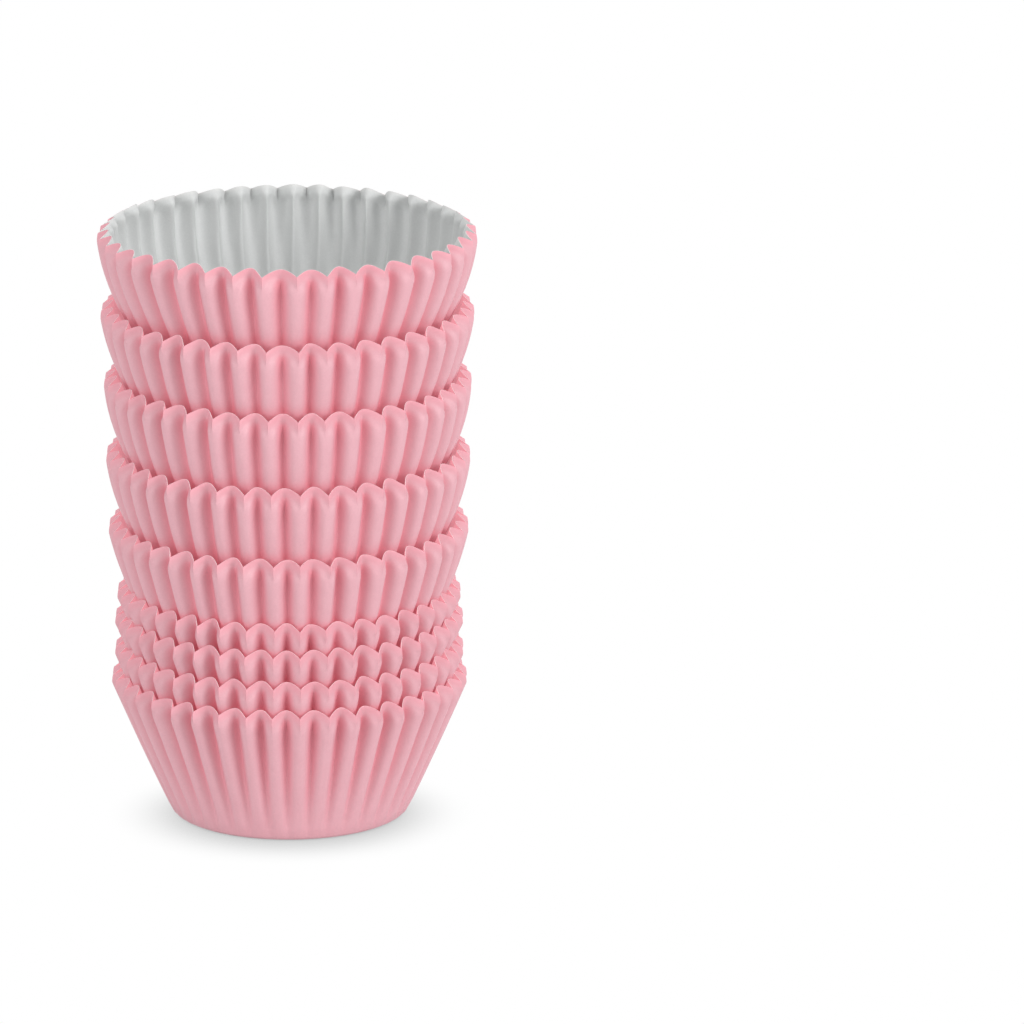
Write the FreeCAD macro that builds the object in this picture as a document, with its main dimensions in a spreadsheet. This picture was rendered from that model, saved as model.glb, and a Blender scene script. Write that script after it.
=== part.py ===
import FreeCAD, Part
import math
import os

# A stack of nine cupcake liners. Each one is a round blank of thin paper, pressed in one stroke into a
# cup with a flat foot and a wall of forty pleats, so each one is a single thin solid.
# Units are millimetres. +Z points up, the stack stands on Z = 0 and its axis is the Z axis.
# Liner 1 is the top one. Angles are in degrees, counted from the front, which is -Y, towards +X.

doc = FreeCAD.newDocument("cupcake_liner_stack")


# Driving sizes: name, value and what it measures
COMMON_SIZES = [
    ("flutes", 40, "pleats round a liner"),
    ("paper", 0.12, "thickness of the paper, measured level"),
    ("foot_radius", 25.0, "flat foot, to the fold where the wall starts"),
    ("cup_height", 31.5, "foot to the low points of the cut edge, which lie on the ridges"),
    ("lip_height", 1.7, "smooth band under the cut edge, above the pressed pleats"),
    ("lip_lean", 0.45, "how far the band leans in from the widest ring to the cut edge"),
    ("arch_rise", 0.95, "how much higher the cut edge stands at a groove than at a ridge"),
    ("crown_angle", 3.6, "flat crown of a ridge at the widest ring, as seen from the axis, in degrees"),
    ("rim_depth", 2.7, "depth of a pleat at the cut edge"),
    ("pleat_depth", 3.1, "depth of a pleat at the widest ring"),
    ("seat_crown_angle", 7.0, "crown of a ridge where it leans on the rim of the next liner, in degrees"),
    ("seat_depth", 2.2, "depth of a pleat there"),
    ("seat_gap", 0.25, "clearance there between a ridge and the arches of that rim"),
    ("nest_turn", 3.1, "turn of the four lowest liners, which lie in step, in degrees"),
]

# The five upper liners stand loosely in one another
# rise: how far a foot stands above the foot below it
LOOSE_SIZES = [
    ("rise_1", 16.4), ("rim_radius_1", 40.2), ("turn_1", 2.1),
    ("rise_2", 15.4), ("rim_radius_2", 39.6), ("turn_2", 2.3),
    ("rise_3", 16.2), ("rim_radius_3", 39.0), ("turn_3", 2.7),
    ("rise_4", 15.8), ("rim_radius_4", 38.7), ("turn_4", 3.4),
    ("rise_5", 14.6), ("rim_radius_5", 38.3), ("turn_5", 3.6),
]

# The four lowest liners are pushed home, pleat in pleat
# nest_gap: clearance between a liner's ridges and the rim that it lies in
NESTED_SIZES = [
    ("rise_6", 5.8), ("nest_gap_6", 0.25),
    ("rise_7", 6.9), ("nest_gap_7", 0.3),
    ("rise_8", 6.2), ("nest_gap_8", 0.7),
    ("rim_radius_9", 37.9),
]

LOOSE = [1, 2, 3, 4, 5]
NESTED = [6, 7, 8]
BOTTOM = 9

sheet = doc.addObject("Spreadsheet::Sheet", "Sizes")
rows = COMMON_SIZES
rows = rows + [(name, value, "liner " + name[-1]) for name, value in LOOSE_SIZES + NESTED_SIZES]
for number, (name, value, note) in enumerate(rows, start=1):
    sheet.set("A%d" % number, name)
    sheet.set("B%d" % number, str(value))
    sheet.set("C%d" % number, note)
    sheet.setAlias("B%d" % number, name)
doc.recompute()


def size(name, liner=None):
    """A size from the sheet, or a liner's own size when its number is given."""
    if liner is not None:
        name = "%s_%d" % (name, liner)
    return float(sheet.get(name))


flutes = int(size("flutes"))
pitch = 360.0 / flutes
groove = pitch / 2
crown = size("crown_angle") / 2
seat_crown = size("seat_crown_angle") / 2
band_height = size("cup_height") - size("lip_height")


def corner(radius, angle, height):
    """A corner of the folded sheet, at an angle from the front."""
    turn = math.radians(angle)
    return FreeCAD.Vector(radius * math.sin(turn), -radius * math.cos(turn), height)


def ring(height, *folds):
    """All corners at one height; folds are the angle and radius of each one within a pleat."""
    return [corner(radius, step * pitch + angle, height)
            for step in range(flutes) for angle, radius in folds]


def pleated_ring(height, ridge_radius, half_crown, depth):
    """A ring of flat crowns with a sharp groove between each two."""
    crown_ends = [(-half_crown, ridge_radius), (half_crown, ridge_radius)]
    return ring(height, *crown_ends, (groove, ridge_radius - depth))


def widest_ring(rim_radius):
    return pleated_ring(band_height, rim_radius + size("lip_lean"), crown, size("pleat_depth"))


def cut_edge(rim_radius):
    """The cut edge: a low point on each ridge and a high arch over each groove."""
    edge = ring(size("cup_height"), (0, rim_radius), (groove, rim_radius - size("rim_depth")))
    for arch in edge[1::2]:
        arch.z += size("arch_rise")
    return edge


def inside(outline):
    """The same ring on the inner face of the paper, each corner mitred."""
    paper = size("paper")
    shifted = []
    for index, here in enumerate(outline):
        before = here - outline[index - 1]
        after = outline[(index + 1) % len(outline)] - here
        first = FreeCAD.Vector(-before.y, before.x, 0).normalize()
        second = FreeCAD.Vector(-after.y, after.x, 0).normalize()
        shifted.append(here + (first + second) * (paper / (1 + first.dot(second))))
    return shifted


def face(*corners):
    return Part.Face(Part.makePolygon(list(corners) + [corners[0]]))


def pleats(outline):
    """The corners of a ring pleat by pleat, each pleat with the first corner of the next one added."""
    count = len(outline) // flutes
    closed = outline + outline[:1]
    return [closed[step * count:step * count + count + 1] for step in range(flutes)]


def root_facets(foot, folds):
    """From the foot up to the first ring of folds; the pleats run out at the foot."""
    facets = []
    for below, (left, right, valley, next_left) in zip(pleats(foot), pleats(folds)):
        crown_feet = below[:-1]
        last_foot, next_foot = below[-2:]
        facets.append(face(*crown_feet, right, left))
        facets.append(face(last_foot, valley, right))
        facets.append(face(last_foot, next_foot, valley))
        facets.append(face(next_foot, next_left, valley))
    return facets


def wall_facets(lower, upper):
    """Between two rings of folds: a flat crown and two bent flanks to each pleat."""
    facets = []
    for below, above in zip(pleats(lower), pleats(upper)):
        left, right, valley, next_left = below
        upper_left, upper_right, upper_valley, upper_next_left = above
        facets.append(face(left, right, upper_right, upper_left))
        facets.append(face(right, valley, upper_valley))
        facets.append(face(right, upper_valley, upper_right))
        facets.append(face(valley, next_left, upper_valley))
        facets.append(face(next_left, upper_next_left, upper_valley))
    return facets


def lip_facets(folds, edge):
    """The band under the cut edge, where each sharp groove opens into a wide arch."""
    facets = []
    for below, (tip, arch, next_tip) in zip(pleats(folds), pleats(edge)):
        left, right, valley, next_left = below
        facets.append(face(left, right, tip))
        facets.append(face(right, valley, tip))
        facets.append(face(valley, arch, tip))
        facets.append(face(valley, next_tip, arch))
        facets.append(face(valley, next_left, next_tip))
    return facets


def cut_facets(outer_edge, inner_edge):
    """The cut through the paper, all along the edge."""
    facets = []
    for index, here in enumerate(outer_edge):
        facets.append(face(outer_edge[index - 1], here, inner_edge[index]))
        facets.append(face(outer_edge[index - 1], inner_edge[index], inner_edge[index - 1]))
    return facets


def skin(foot, folds, edge):
    """One face of the paper: the flat foot, the pleated wall and the lip."""
    facets = [face(*foot)] + root_facets(foot, folds[0])
    for lower, upper in zip(folds, folds[1:]):
        facets += wall_facets(lower, upper)
    return facets + lip_facets(folds[-1], edge)


def pressed_cup(foot, folds, edge):
    """One thin solid from the rings of its outer face."""
    inner_foot = inside(foot)
    for here in inner_foot:
        here.z += size("paper")
    inner_folds = [inside(outline) for outline in folds]
    inner_edge = inside(edge)
    facets = skin(foot, folds, edge) + skin(inner_foot, inner_folds, inner_edge)
    sheet_of_facets = Part.makeCompound(facets + cut_facets(edge, inner_edge))
    sheet_of_facets.sewShape()
    return Part.makeSolid(sheet_of_facets.Shells[0])


def rim_inside(edge, angle):
    """Radius and height of the cut edge's inner side, at an angle from a ridge."""
    low_point, arch = inside(edge)[:2]
    along = math.radians(angle)
    sight = FreeCAD.Vector(math.sin(along), -math.cos(along), 0)
    share = low_point.cross(sight).z / (low_point - arch).cross(sight).z
    meeting = low_point + (arch - low_point) * share
    return math.hypot(meeting.x, meeting.y), meeting.z


def straight_liner(rim_radius):
    """A liner whose wall runs straight from the foot to the widest ring."""
    foot = ring(0, (-crown, size("foot_radius")), (crown, size("foot_radius")))
    edge = cut_edge(rim_radius)
    return pressed_cup(foot, [widest_ring(rim_radius)], edge), edge


def nested_liner(number, edge_below):
    """A straight liner pushed home, its pleats in step with those of the one below."""
    room, level = rim_inside(edge_below, crown)
    seat_radius = room - size("nest_gap", number)
    seat_height = level - size("rise", number)
    slope = (seat_radius - size("foot_radius")) / seat_height
    return straight_liner(size("foot_radius") + slope * band_height - size("lip_lean"))


def loose_liner(number, edge_below, turn_below):
    """A bowl-shaped liner whose ridges lean on the arches of the one below."""
    out_of_step = abs(size("turn", number) - turn_below)
    room, level = rim_inside(edge_below, seat_crown + out_of_step)
    seat_radius = room - size("seat_gap")
    seat_height = level - size("rise", number)
    foot = ring(0, (0, size("foot_radius")))
    seat = pleated_ring(seat_height, seat_radius, seat_crown, size("seat_depth"))
    edge = cut_edge(size("rim_radius", number))
    return pressed_cup(foot, [seat, widest_ring(size("rim_radius", number))], edge), edge


def add_liner(number, shape, turn_name):
    """Put a liner in the document, at its height in the stack and turned as it lies."""
    liner = doc.addObject("Part::Feature", "liner_%d" % number)
    liner.Label = "liner_%d" % number
    liner.Shape = shape
    liner.Placement = FreeCAD.Placement(FreeCAD.Vector(), FreeCAD.Rotation(FreeCAD.Vector(0, 0, 1), 1))
    rises = ["Sizes.rise_%d" % lower for lower in range(number, BOTTOM)]
    if rises:
        liner.setExpression("Placement.Base.z", " + ".join(rises))
    liner.setExpression("Placement.Rotation.Angle", "Sizes." + turn_name)
    return liner


# The stack is put together from the bottom, since each liner takes its seat from the rim below it
shape, edge = straight_liner(size("rim_radius", BOTTOM))
liners = [add_liner(BOTTOM, shape, "nest_turn")]
for number in reversed(NESTED):
    shape, edge = nested_liner(number, edge)
    liners.append(add_liner(number, shape, "nest_turn"))
turn = size("nest_turn")
for number in reversed(LOOSE):
    shape, edge = loose_liner(number, edge, turn)
    liners.append(add_liner(number, shape, "turn_%d" % number))
    turn = size("turn", number)

doc.recompute()

for item in doc.Objects:
    if "Invalid" in item.State or "Error" in item.State:
        raise RuntimeError("%s did not build" % item.Label)
for liner in liners:
    if liner.Shape.isNull() or not liner.Shape.isValid() or liner.Shape.Volume <= 0:
        raise RuntimeError("%s has no valid solid" % liner.Label)

os.makedirs("parts", exist_ok=True)
for liner in liners:
    liner.Shape.exportStep("parts/%s.step" % liner.Label)
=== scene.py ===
import math
import random

import bpy
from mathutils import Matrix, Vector


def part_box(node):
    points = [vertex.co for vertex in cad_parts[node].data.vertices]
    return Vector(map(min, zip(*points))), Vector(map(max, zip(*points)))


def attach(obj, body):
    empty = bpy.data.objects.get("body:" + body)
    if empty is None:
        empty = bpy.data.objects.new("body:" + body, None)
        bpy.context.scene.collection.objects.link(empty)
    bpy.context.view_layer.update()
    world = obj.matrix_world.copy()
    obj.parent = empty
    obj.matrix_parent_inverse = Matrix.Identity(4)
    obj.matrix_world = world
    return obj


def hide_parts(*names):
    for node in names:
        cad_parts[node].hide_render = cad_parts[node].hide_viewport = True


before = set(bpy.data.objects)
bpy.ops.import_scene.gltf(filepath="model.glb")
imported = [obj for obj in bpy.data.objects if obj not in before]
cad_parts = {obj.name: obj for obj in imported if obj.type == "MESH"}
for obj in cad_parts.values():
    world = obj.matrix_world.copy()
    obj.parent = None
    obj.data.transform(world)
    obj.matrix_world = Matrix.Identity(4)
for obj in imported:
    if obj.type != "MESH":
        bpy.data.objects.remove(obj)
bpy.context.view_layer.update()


# Camera
# A long lens from about 2.4 metres, looking 15 degrees down, with the stack left of the middle.
LOOK_DOWN = 15.168

camera = bpy.data.objects.new("camera", bpy.data.cameras.new("camera"))
camera.data.sensor_width = 36
camera.data.lens = 386.7
camera.location = (0.048, -2.2824, 0.6851)
camera.rotation_euler = (math.radians(90 - LOOK_DOWN), 0, 0)
bpy.context.scene.collection.objects.link(camera)
bpy.context.scene.camera = camera


# Liners
# Each liner is one round blank of greaseproof paper, pink on the outside and pale grey on the inside,
# pressed into a flat foot and forty pleats. The die stops short of the cut edge, so the pleats open
# there into a soft scalloped band.

def paper_grain():
    """Fibres and faint clouding of thin paper: masks for the colour and a height for the surface."""
    group = bpy.data.node_groups.new("paper_grain", "ShaderNodeTree")
    nodes, links = group.nodes, group.links
    for socket in ("Clouding", "Fibre", "Height"):
        group.interface.new_socket(socket, in_out="OUTPUT", socket_type="NodeSocketFloat")
    group.interface.new_socket("Vector", in_out="INPUT", socket_type="NodeSocketVector")
    given = nodes.new("NodeGroupInput")
    result = nodes.new("NodeGroupOutput")

    # Clouds about 3 mm across, and fibres of about 0.4 mm
    clouding = nodes.new("ShaderNodeTexNoise")
    clouding.inputs["Scale"].default_value = 320
    clouding.inputs["Detail"].default_value = 5
    clouding.inputs["Roughness"].default_value = 0.65
    links.new(given.outputs["Vector"], clouding.inputs["Vector"])
    links.new(clouding.outputs["Fac"], result.inputs["Clouding"])

    fibre = nodes.new("ShaderNodeTexNoise")
    fibre.inputs["Scale"].default_value = 2400
    fibre.inputs["Detail"].default_value = 3
    fibre.inputs["Roughness"].default_value = 0.65
    fibre.inputs["Distortion"].default_value = 0.8
    links.new(given.outputs["Vector"], fibre.inputs["Vector"])
    links.new(fibre.outputs["Fac"], result.inputs["Fibre"])

    height = nodes.new("ShaderNodeMath")
    height.operation = "MULTIPLY_ADD"
    height.inputs[1].default_value = 0.6
    links.new(clouding.outputs["Fac"], height.inputs[0])
    links.new(fibre.outputs["Fac"], height.inputs[2])
    links.new(height.outputs["Value"], result.inputs["Height"])
    return group


def paper(name, plain, clouded, pressed, edge, edge_width, roughness, let_through=0):
    """A face of the paper: its plain and clouded colour; its pressed colour, painted shade in the
    grooves; its colour along the cut edge, painted shade on the pink face and painted light on the
    inner face lit through; and how strongly it glows there, which stands in for light through the
    paper."""
    material = bpy.data.materials.new(name)
    material.use_nodes = True
    nodes, links = material.node_tree.nodes, material.node_tree.links
    shader = nodes["Principled BSDF"]
    shader.inputs["Roughness"].default_value = roughness
    shader.inputs["Specular IOR Level"].default_value = 0.5

    place = nodes.new("ShaderNodeTexCoord")
    fibres = nodes.new("ShaderNodeGroup")
    fibres.node_tree = GRAIN
    links.new(place.outputs["Object"], fibres.inputs["Vector"])

    body = nodes.new("ShaderNodeMix")
    body.data_type = "RGBA"
    body.inputs["A"].default_value = (*plain, 1)
    body.inputs["B"].default_value = (*clouded, 1)
    links.new(fibres.outputs["Clouding"], body.inputs["Factor"])

    # Painted shade in the grooves: the folded attribute mixes in the pressed colour, darker and on the
    # pink face deeper, for shade and light bounced between the folds
    folded = nodes.new("ShaderNodeAttribute")
    folded.attribute_name = "folded"
    grooves = nodes.new("ShaderNodeMix")
    grooves.data_type = "RGBA"
    grooves.inputs["B"].default_value = (*pressed, 1)
    links.new(folded.outputs["Fac"], grooves.inputs["Factor"])
    links.new(body.outputs["Result"], grooves.inputs["A"])

    flecks = nodes.new("ShaderNodeMix")
    flecks.data_type = "RGBA"
    flecks.blend_type = "MULTIPLY"
    flecks.inputs["Factor"].default_value = 0.14
    links.new(grooves.outputs["Result"], flecks.inputs["A"])
    links.new(fibres.outputs["Fibre"], flecks.inputs["B"])

    # Colour towards the cut edge: painted shade on the pink face's scalloped band, and painted pink
    # light on the inner face lit through
    reach = nodes.new("ShaderNodeAttribute")
    reach.attribute_name = "from_edge"
    near = nodes.new("ShaderNodeMapRange")
    near.inputs["From Min"].default_value = edge_width
    near.inputs["From Max"].default_value = 0
    links.new(reach.outputs["Fac"], near.inputs["Value"])
    rim = nodes.new("ShaderNodeMix")
    rim.data_type = "RGBA"
    rim.inputs["B"].default_value = (*edge, 1)
    links.new(near.outputs["Result"], rim.inputs["Factor"])
    links.new(flecks.outputs["Result"], rim.inputs["A"])
    links.new(rim.outputs["Result"], shader.inputs["Base Color"])

    if let_through:
        passed = nodes.new("ShaderNodeMix")
        passed.data_type = "RGBA"
        passed.inputs["A"].default_value = (0, 0, 0, 1)
        passed.inputs["B"].default_value = (*edge, 1)
        links.new(near.outputs["Result"], passed.inputs["Factor"])
        links.new(passed.outputs["Result"], shader.inputs["Emission Color"])
        shader.inputs["Emission Strength"].default_value = let_through

    bump = nodes.new("ShaderNodeBump")
    bump.inputs["Strength"].default_value = 0.5
    bump.inputs["Distance"].default_value = 0.00006
    links.new(fibres.outputs["Height"], bump.inputs["Height"])
    links.new(bump.outputs["Normal"], shader.inputs["Normal"])
    return material


GRAIN = paper_grain()
# Each pressed colour is painted shade in the grooves, deeper pink on the pink face for light bounced
# between its folds; the pink face's darker edge colour is painted shade on the scalloped band
PINK = paper(
    "pink paper", plain=(0.78, 0.43, 0.48), clouded=(0.73, 0.37, 0.42), pressed=(0.81, 0.32, 0.375),
    edge=(0.80, 0.365, 0.42), edge_width=0.0021, roughness=0.5)
GREY = paper(
    "grey inner face", plain=(0.74, 0.75, 0.745), clouded=(0.67, 0.68, 0.675),
    pressed=(0.64, 0.65, 0.645), edge=(0.72, 0.72, 0.71), edge_width=0.0008, roughness=0.6)
# Inside the stack: a slightly pinker grey. Towards the rim its colour turns pink and it glows faintly
# pink, painted light that stands in for the light that comes through the thin paper; its pressed
# colour is painted shade in the grooves
LIT_THROUGH = paper(
    "inner face lit through", plain=(0.74, 0.70, 0.70), clouded=(0.66, 0.62, 0.62),
    pressed=(0.70, 0.65, 0.65), edge=(0.82, 0.43, 0.48), edge_width=0.026, roughness=0.6,
    let_through=0.45)
CUT = paper(
    "cut edge", plain=(0.88, 0.68, 0.70), clouded=(0.84, 0.62, 0.64), pressed=(0.88, 0.68, 0.70),
    edge=(0.88, 0.68, 0.70), edge_width=0.0006, roughness=0.8)

PLEATS = 40
PAPER = 0.00012         # thickness
CUP_HEIGHT = 0.03105    # from the foot to the notches of the cut edge
BAND_HEIGHT = 0.0293    # from the foot to the widest ring, where the scalloped band starts
FOOT_RADIUS = 0.0253
FOOT_FOLD = 0.0029      # radius of the fold between foot and wall
ARCH_RISE = 0.0013      # how much higher the cut edge stands at a groove than at a ridge
LIP_LEAN = 0.0002       # how far the band leans in from the widest ring
LIP_DEPTH = 0.0021      # depth of a pleat at the cut edge
PLEAT_DEPTH = 0.0031    # depth of a pleat at the widest ring
FOOT_DEPTH = 0.00015    # depth of a pleat where it runs out at the foot

HALF_PLEAT = math.pi / PLEATS
# A little less than half a turn of a cosine from ridge to groove, which creases the groove
GROOVE = math.radians(172)
# Power that narrows the grooves low on the wall, what it gains on the way up to the band, and the
# height where it starts to gain
NARROWING = 1.6
TIGHTENING = 0.9
TIGHTENS_FROM = 0.022
# Heights between which the grooves open into the scallops, and where the arches start to rise
OPENS_FROM = BAND_HEIGHT - 0.0024
OPENS_TO = BAND_HEIGHT + 0.001
ARCHES_FROM = 0.018
# The painted shade of the grooves, a darker and on the pink face deeper colour for shade and light
# bounced between the folds: the share of half a pleat where it starts, the height by which it is
# full, and the heights between which it is lost at the band
GROOVE_SHADE_STARTS = 0.42
GROOVE_SHADE_FULL = 0.02
GROOVE_SHADE_FADES = BAND_HEIGHT - 0.0012
GROOVE_SHADE_GONE = BAND_HEIGHT + 0.0003

# Shares of half a pleat from the ridge to the groove, and then both halves of a pleat
FOLD_STEPS = [0, 0.1, 0.22, 0.34, 0.46, 0.57, 0.67, 0.76, 0.84, 0.92, 1]
SHARES = [-step for step in reversed(FOLD_STEPS[1:])] + FOLD_STEPS
# Rows in the fold at the foot, and heights of the rings on the wall, closer together at the band
FOOT_ROWS = 4
RINGS = [0.0032, 0.005, 0.0075, 0.0105, 0.0135, 0.0165, 0.0195, 0.022, 0.0242, 0.0258, 0.0268,
         0.0275, 0.028, 0.0284, 0.0288, 0.0292, 0.0295, 0.0298, 0.0301, 0.0304, 0.0307, 0.03105]


def ease(start, end, value):
    """Rises smoothly from 0 at start to 1 at end."""
    share = min(max((value - start) / (end - start), 0), 1)
    return share * share * (3 - 2 * share)


def ridge_radius(height, widest, belly):
    """Radius of the ridges at a height above the foot; belly is how far the wall bows outwards."""
    if height > BAND_HEIGHT:
        return widest - LIP_LEAN * ((height - BAND_HEIGHT) / (CUP_HEIGHT - BAND_HEIGHT)) ** 2
    share = height / BAND_HEIGHT
    return FOOT_RADIUS + (widest - FOOT_RADIUS) * share + belly * 4 * share * (1 - share)


def pleat_depth(height, fullness):
    """Depth of a pleat at a height; with a low fullness it deepens fast above the foot."""
    if height > BAND_HEIGHT:
        share = (height - BAND_HEIGHT) / (CUP_HEIGHT - BAND_HEIGHT)
        return PLEAT_DEPTH + (LIP_DEPTH - PLEAT_DEPTH) * share
    return FOOT_DEPTH + (PLEAT_DEPTH - FOOT_DEPTH) * (height / BAND_HEIGHT) ** fullness


def pleat_shape(height, share):
    """How far the paper is folded in, 0 on a ridge and 1 in a groove: wide rounded ridges and narrow
    grooves where the die has pressed it, and wide scallops, pointed on the ridges, at the cut edge."""
    narrowing = NARROWING + TIGHTENING * ease(TIGHTENS_FROM, BAND_HEIGHT, height)
    pressed = ((1 - math.cos(GROOVE * abs(share))) / (1 - math.cos(GROOVE))) ** narrowing
    scallop = math.sin(math.pi * abs(share) / 2)
    loose = ease(OPENS_FROM, OPENS_TO, height)
    return pressed + (scallop - pressed) * loose


def lay_out_pleat(widest, belly, fullness):
    """One pleat of paper, from the flat of the foot to the cut edge."""
    rows = FOOT_ROWS + len(RINGS)
    bpy.ops.object.select_all(action="DESELECT")
    bpy.ops.mesh.primitive_grid_add(x_subdivisions=len(SHARES) - 1, y_subdivisions=rows - 1, size=2)
    liner = bpy.context.object
    for attribute in ("from_edge", "folded"):
        liner.data.attributes.new(attribute, "FLOAT", "POINT")
    from_edge = liner.data.attributes["from_edge"].data
    folded = liner.data.attributes["folded"].data

    slope = math.atan2(BAND_HEIGHT, widest - FOOT_RADIUS)
    flat = FOOT_RADIUS - FOOT_FOLD * math.tan(slope / 2)
    for vertex in liner.data.vertices:
        share = SHARES[round((vertex.co.x + 1) / 2 * (len(SHARES) - 1))]
        row = round((vertex.co.y + 1) / 2 * (rows - 1))
        if row < FOOT_ROWS:
            bend = slope * row / FOOT_ROWS
            radius = flat + FOOT_FOLD * math.sin(bend)
            height = FOOT_FOLD * (1 - math.cos(bend))
            radius -= FOOT_DEPTH * row / FOOT_ROWS * pleat_shape(0, share)
            from_edge[vertex.index].value = CUP_HEIGHT
        else:
            height = RINGS[row - FOOT_ROWS]
            depth = pleat_depth(height, fullness)
            radius = ridge_radius(height, widest, belly) - depth * pleat_shape(height, share)
            from_edge[vertex.index].value = CUP_HEIGHT - height
            # The painted shade of the grooves comes in gradually above the foot, and is lost at the
            # band
            pressed = ease(GROOVE_SHADE_STARTS, 1, abs(share))
            pressed *= 1 - ease(GROOVE_SHADE_FADES, GROOVE_SHADE_GONE, height)
            folded[vertex.index].value = pressed * ease(0, GROOVE_SHADE_FULL, height)
            rise = ARCH_RISE * ease(ARCHES_FROM, BAND_HEIGHT, height)
            height += rise * math.sin(abs(share) * math.pi / 2)
        angle = share * HALF_PLEAT
        vertex.co = (radius * math.sin(angle), -radius * math.cos(angle), height)
    return liner


# Each ring of the foot as a share of the one around it, and how close points are to count as one
FOOT_RINGS = (0.85, 0.6, 0.4)
SAME_PLACE = 0.00001
ON_THE_FLAT = 0.000001


def close_cup(liner):
    """The pleat repeated all round, and the foot closed towards its centre."""
    bpy.ops.object.mode_set(mode="EDIT")
    bpy.ops.mesh.select_all(action="SELECT")
    bpy.ops.mesh.spin(steps=PLEATS, dupli=True, angle=math.tau, center=(0, 0, 0), axis=(0, 0, 1))
    bpy.ops.mesh.select_all(action="SELECT")
    bpy.ops.mesh.remove_doubles(threshold=SAME_PLACE)
    bpy.ops.mesh.select_mode(type="VERT")
    bpy.ops.mesh.select_all(action="DESELECT")
    bpy.ops.object.mode_set(mode="OBJECT")
    for vertex in liner.data.vertices:
        vertex.select = vertex.co.z < ON_THE_FLAT
    bpy.ops.object.mode_set(mode="EDIT")
    bpy.ops.mesh.select_mode(type="EDGE")
    for smaller in FOOT_RINGS:
        bpy.ops.mesh.extrude_edges_move()
        bpy.ops.transform.resize(value=(smaller, smaller, 1), center_override=(0, 0, 0))
    bpy.ops.mesh.merge(type="CENTER")
    bpy.ops.mesh.select_all(action="SELECT")
    bpy.ops.mesh.normals_make_consistent(inside=False)
    bpy.ops.object.mode_set(mode="OBJECT")


# How unevenly soft paper folds: the spread of the folds' places and of their lean in pleats, of
# their depth as a share, and of the height of the cut edge
UNEVEN_PLACE = 0.028
UNEVEN_LEAN = 0.02
UNEVEN_DEPTH = 0.05
UNEVEN_HEIGHT = 0.0001
# Share of the height that a leaning fold leans about, and the heights above which the pleats stand
# farther apart at the front and the cut edge is uneven
LEANS_ABOUT = 0.6
SPREADS_FROM = 0.014
UNEVEN_FROM = 0.015


def between(values, place):
    """The value at a place between two folds, from one value for each ridge and groove."""
    first = math.floor(place)
    share = ease(0, 1, place - first)
    return values[first % len(values)] * (1 - share) + values[(first + 1) % len(values)] * share


def slacken(liner, foot, turn, widest, belly, warp, seed):
    """Soft paper is never quite even: pleats differ a little in width, lean, depth and height. The cup
    is also turned and lifted here, as it lies in the stack."""
    chance = random.Random(seed)
    shift = [chance.gauss(0, UNEVEN_PLACE) for fold in range(2 * PLEATS)]
    lean = [chance.gauss(0, UNEVEN_LEAN) for fold in range(2 * PLEATS)]
    deep = [1 + chance.gauss(0, UNEVEN_DEPTH) for fold in range(2 * PLEATS)]
    tall = [chance.gauss(0, UNEVEN_HEIGHT) for fold in range(2 * PLEATS)]

    for vertex in liner.data.vertices:
        radius = math.hypot(vertex.co.x, vertex.co.y)
        angle = math.atan2(vertex.co.x, -vertex.co.y)
        height = vertex.co.z
        place = angle / HALF_PLEAT
        up = height / CUP_HEIGHT
        if height > FOOT_FOLD:
            ridge = ridge_radius(min(height, CUP_HEIGHT), widest, belly)
            radius = ridge - (ridge - radius) * between(deep, place)
        moved = between(shift, place) + (up - LEANS_ABOUT) * between(lean, place)
        angle += 2 * HALF_PLEAT * up * moved
        angle += warp * math.sin(angle) * ease(SPREADS_FROM, CUP_HEIGHT, height)
        angle += math.radians(turn)
        height += between(tall, place) * ease(UNEVEN_FROM, CUP_HEIGHT, height)
        vertex.co = (radius * math.sin(angle), -radius * math.cos(angle), foot + height)


SIZE_MARGIN = 0.00001
# Edges that turn by more than this stay sharp in the shading
CREASE_ANGLE = math.radians(50)


def keep_to_size(liner, foot, widest, tallest):
    """The uneven cup kept within the size of the one that was packed."""
    across = max(math.hypot(vertex.co.x, vertex.co.y) for vertex in liner.data.vertices)
    top = max(vertex.co.z for vertex in liner.data.vertices) - foot
    narrower = min(1, (widest - SIZE_MARGIN) / across)
    lower = min(1, tallest / top)
    for vertex in liner.data.vertices:
        vertex.co.x *= narrower
        vertex.co.y *= narrower
        vertex.co.z = foot + (vertex.co.z - foot) * lower


def press_liner(name, turn, belly, fullness, warp, inner, seed):
    """One liner, within the size and on the seat of the solid that it replaces."""
    low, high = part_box(name)
    widest = max(high.x, high.y, -low.x, -low.y)
    liner = lay_out_pleat(widest, belly, fullness)
    liner.name = name.replace("liner", "paper_liner")
    liner.data.name = liner.name
    close_cup(liner)
    slacken(liner, low.z, turn, widest, belly, warp, seed)
    keep_to_size(liner, low.z, widest, high.z - low.z)

    for face in (PINK, inner, CUT):
        liner.data.materials.append(face)
    thickness = liner.modifiers.new("paper", "SOLIDIFY")
    thickness.thickness = PAPER
    thickness.offset = -1
    thickness.material_offset = 1
    thickness.material_offset_rim = 2
    bpy.ops.object.modifier_apply(modifier="paper")
    bpy.ops.object.shade_smooth_by_angle(angle=CREASE_ANGLE)
    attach(liner, "root")
    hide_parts(name)


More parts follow.
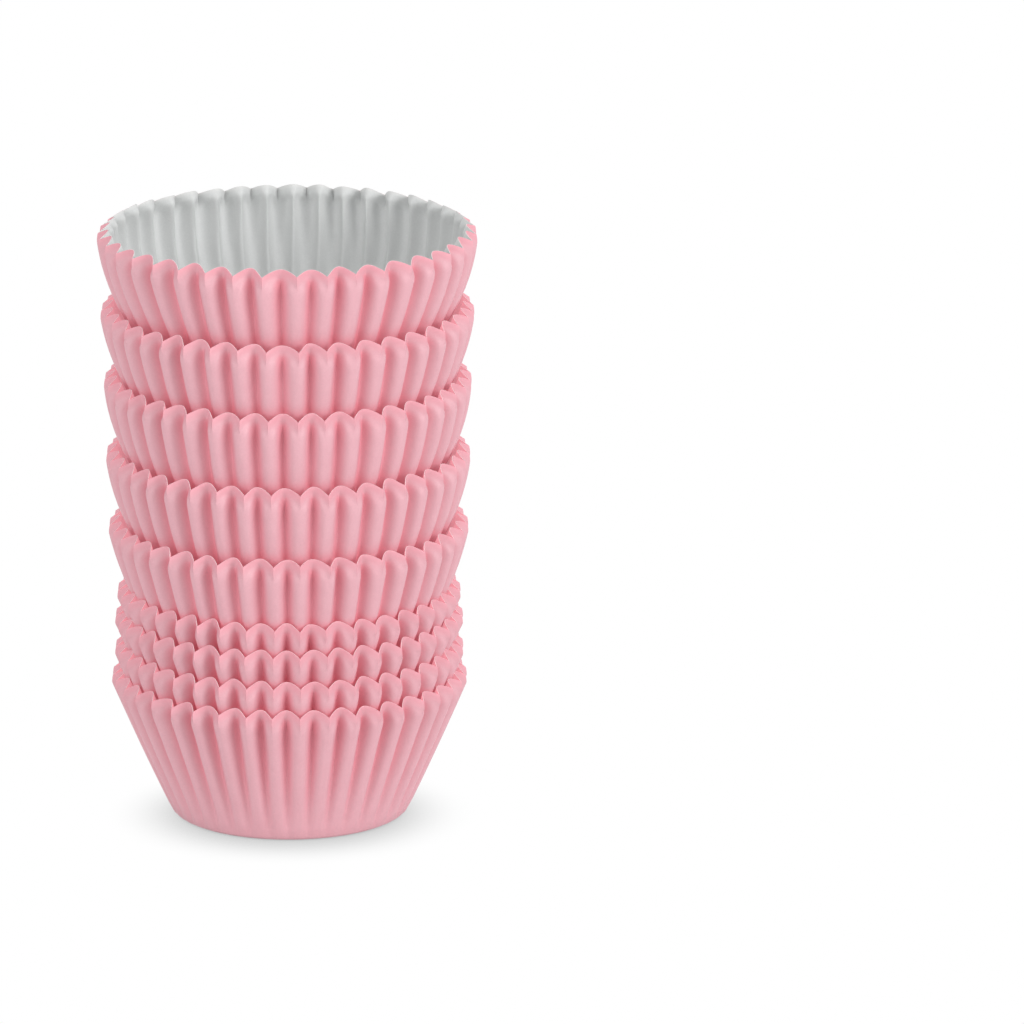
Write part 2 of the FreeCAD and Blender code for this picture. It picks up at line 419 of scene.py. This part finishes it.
# From the bottom up: name, turn in degrees, bow of the wall, how fast the pleats deepen, how much
# farther apart they stand at the front, inner face, and seed of the unevenness
for name, turn, belly, fullness, warp, inner, seed in [
    ("liner_9", 4.7, 0.0002, 0.85, 0, LIT_THROUGH, 9),
    ("liner_8", 4.7, 0.0002, 0.85, 0, LIT_THROUGH, 8),
    ("liner_7", 4.7, -0.0004, 0.85, 0, LIT_THROUGH, 7),
    ("liner_6", 4.7, -0.0004, 0.85, 0, LIT_THROUGH, 6),
    ("liner_5", 5.0, 0.0017, 0.75, 0, LIT_THROUGH, 5),
    ("liner_4", 4.8, 0.0025, 0.75, 0, LIT_THROUGH, 4),
    ("liner_3", 4.1, 0.0029, 0.75, 0, LIT_THROUGH, 3),
    ("liner_2", 4.0, 0.0026, 0.75, 0, LIT_THROUGH, 2),
    ("liner_1", 3.7, 0.0030, 0.75, 0.05, GREY, 1),
]:
    press_liner(name, turn, belly, fullness, warp, inner, seed)


# Floor
# A plain white surface under the stack, wide enough to fill every view. The camera sees a painted
# soft shadow near the foot, white light dimmed by ambient occlusion under the paper, and pure white
# farther out.

def seen_directly(nodes, links):
    """1 for what the camera sees, also in a gloss or through a glass, and 0 for light on the stack."""
    ray = nodes.new("ShaderNodeLightPath")
    seen = ray.outputs["Is Camera Ray"]
    for other in ("Is Glossy Ray", "Is Transmission Ray"):
        either = nodes.new("ShaderNodeMath")
        either.operation = "MAXIMUM"
        links.new(seen, either.inputs[0])
        links.new(ray.outputs[other], either.inputs[1])
        seen = either.outputs["Value"]
    return seen


bpy.ops.object.select_all(action="DESELECT")
bpy.ops.mesh.primitive_plane_add(size=12)
floor = bpy.context.object
floor.name = "floor"
surface = bpy.data.materials.new("white floor")
surface.use_nodes = True
nodes, links = surface.node_tree.nodes, surface.node_tree.links
shader = nodes["Principled BSDF"]
shader.inputs["Base Color"].default_value = (0.9, 0.93, 0.93, 1)
shader.inputs["Roughness"].default_value = 0.9
shader.inputs["Specular IOR Level"].default_value = 0
# The painted shadow fades out between 20 and 42 mm from a point a little in front of the foot's middle
place = nodes.new("ShaderNodeTexCoord")
away = nodes.new("ShaderNodeVectorMath")
away.operation = "DISTANCE"
away.inputs[1].default_value = (0, -0.006, 0)
links.new(place.outputs["Object"], away.inputs[0])
far = nodes.new("ShaderNodeMapRange")
far.interpolation_type = "SMOOTHSTEP"
far.inputs["From Min"].default_value = 0.02
far.inputs["From Max"].default_value = 0.042
links.new(away.outputs["Value"], far.inputs["Value"])
# Painted shadow on the floor close to the paper, from ambient occlusion
near = nodes.new("ShaderNodeAmbientOcclusion")
near.inputs["Distance"].default_value = 0.016
near.samples = 4
shade = nodes.new("ShaderNodeMapRange")
shade.inputs["To Min"].default_value = 0.5
shade.inputs["To Max"].default_value = 1
links.new(near.outputs["AO"], shade.inputs["Value"])
level = nodes.new("ShaderNodeMix")
level.data_type = "FLOAT"
links.new(far.outputs["Result"], level.inputs["Factor"])
links.new(shade.outputs["Result"], level.inputs["A"])
level.inputs["B"].default_value = 1
# The camera sees this white glow, dimmed where the shadow is painted
glow = nodes.new("ShaderNodeEmission")
glow.inputs["Color"].default_value = (1, 1, 1, 1)
links.new(level.outputs["Result"], glow.inputs["Strength"])
both = nodes.new("ShaderNodeMixShader")
links.new(seen_directly(nodes, links), both.inputs["Fac"])
links.new(shader.outputs["BSDF"], both.inputs[1])
links.new(glow.outputs["Emission"], both.inputs[2])
links.new(both.outputs["Shader"], nodes["Material Output"].inputs["Surface"])
floor.data.materials.append(surface)


# Light
# A broad soft lamp from the front right, a weaker one from the front left, and even light all round.
# The camera sees the room as plain white.
STACK_MIDDLE = (0, 0, 0.06)


def soft_lamp(name, place, size, power):
    lamp = bpy.data.objects.new(name, bpy.data.lights.new(name, "AREA"))
    lamp.data.size = size
    lamp.data.energy = power
    lamp.location = place
    towards = Vector(STACK_MIDDLE) - Vector(place)
    lamp.rotation_euler = towards.to_track_quat("-Z", "Y").to_euler()
    bpy.context.scene.collection.objects.link(lamp)


soft_lamp("key", place=(1.55, -1.2, 0.85), size=1.0, power=24)
soft_lamp("fill", place=(-1.35, -1.4, 0.7), size=1.3, power=14)

world = bpy.data.worlds.new("room")
world.use_nodes = True
bpy.context.scene.world = world
nodes, links = world.node_tree.nodes, world.node_tree.links
around = nodes["Background"]
around.inputs["Color"].default_value = (1, 1, 1, 1)
around.inputs["Strength"].default_value = 0.6
backdrop = nodes.new("ShaderNodeBackground")
backdrop.inputs["Color"].default_value = (1, 1, 1, 1)
mixed = nodes.new("ShaderNodeMixShader")
links.new(seen_directly(nodes, links), mixed.inputs["Fac"])
links.new(around.outputs["Background"], mixed.inputs[1])
links.new(backdrop.outputs["Background"], mixed.inputs[2])
links.new(mixed.outputs["Shader"], nodes["World Output"].inputs["Surface"])

bpy.context.scene.view_settings.view_transform = "Standard"
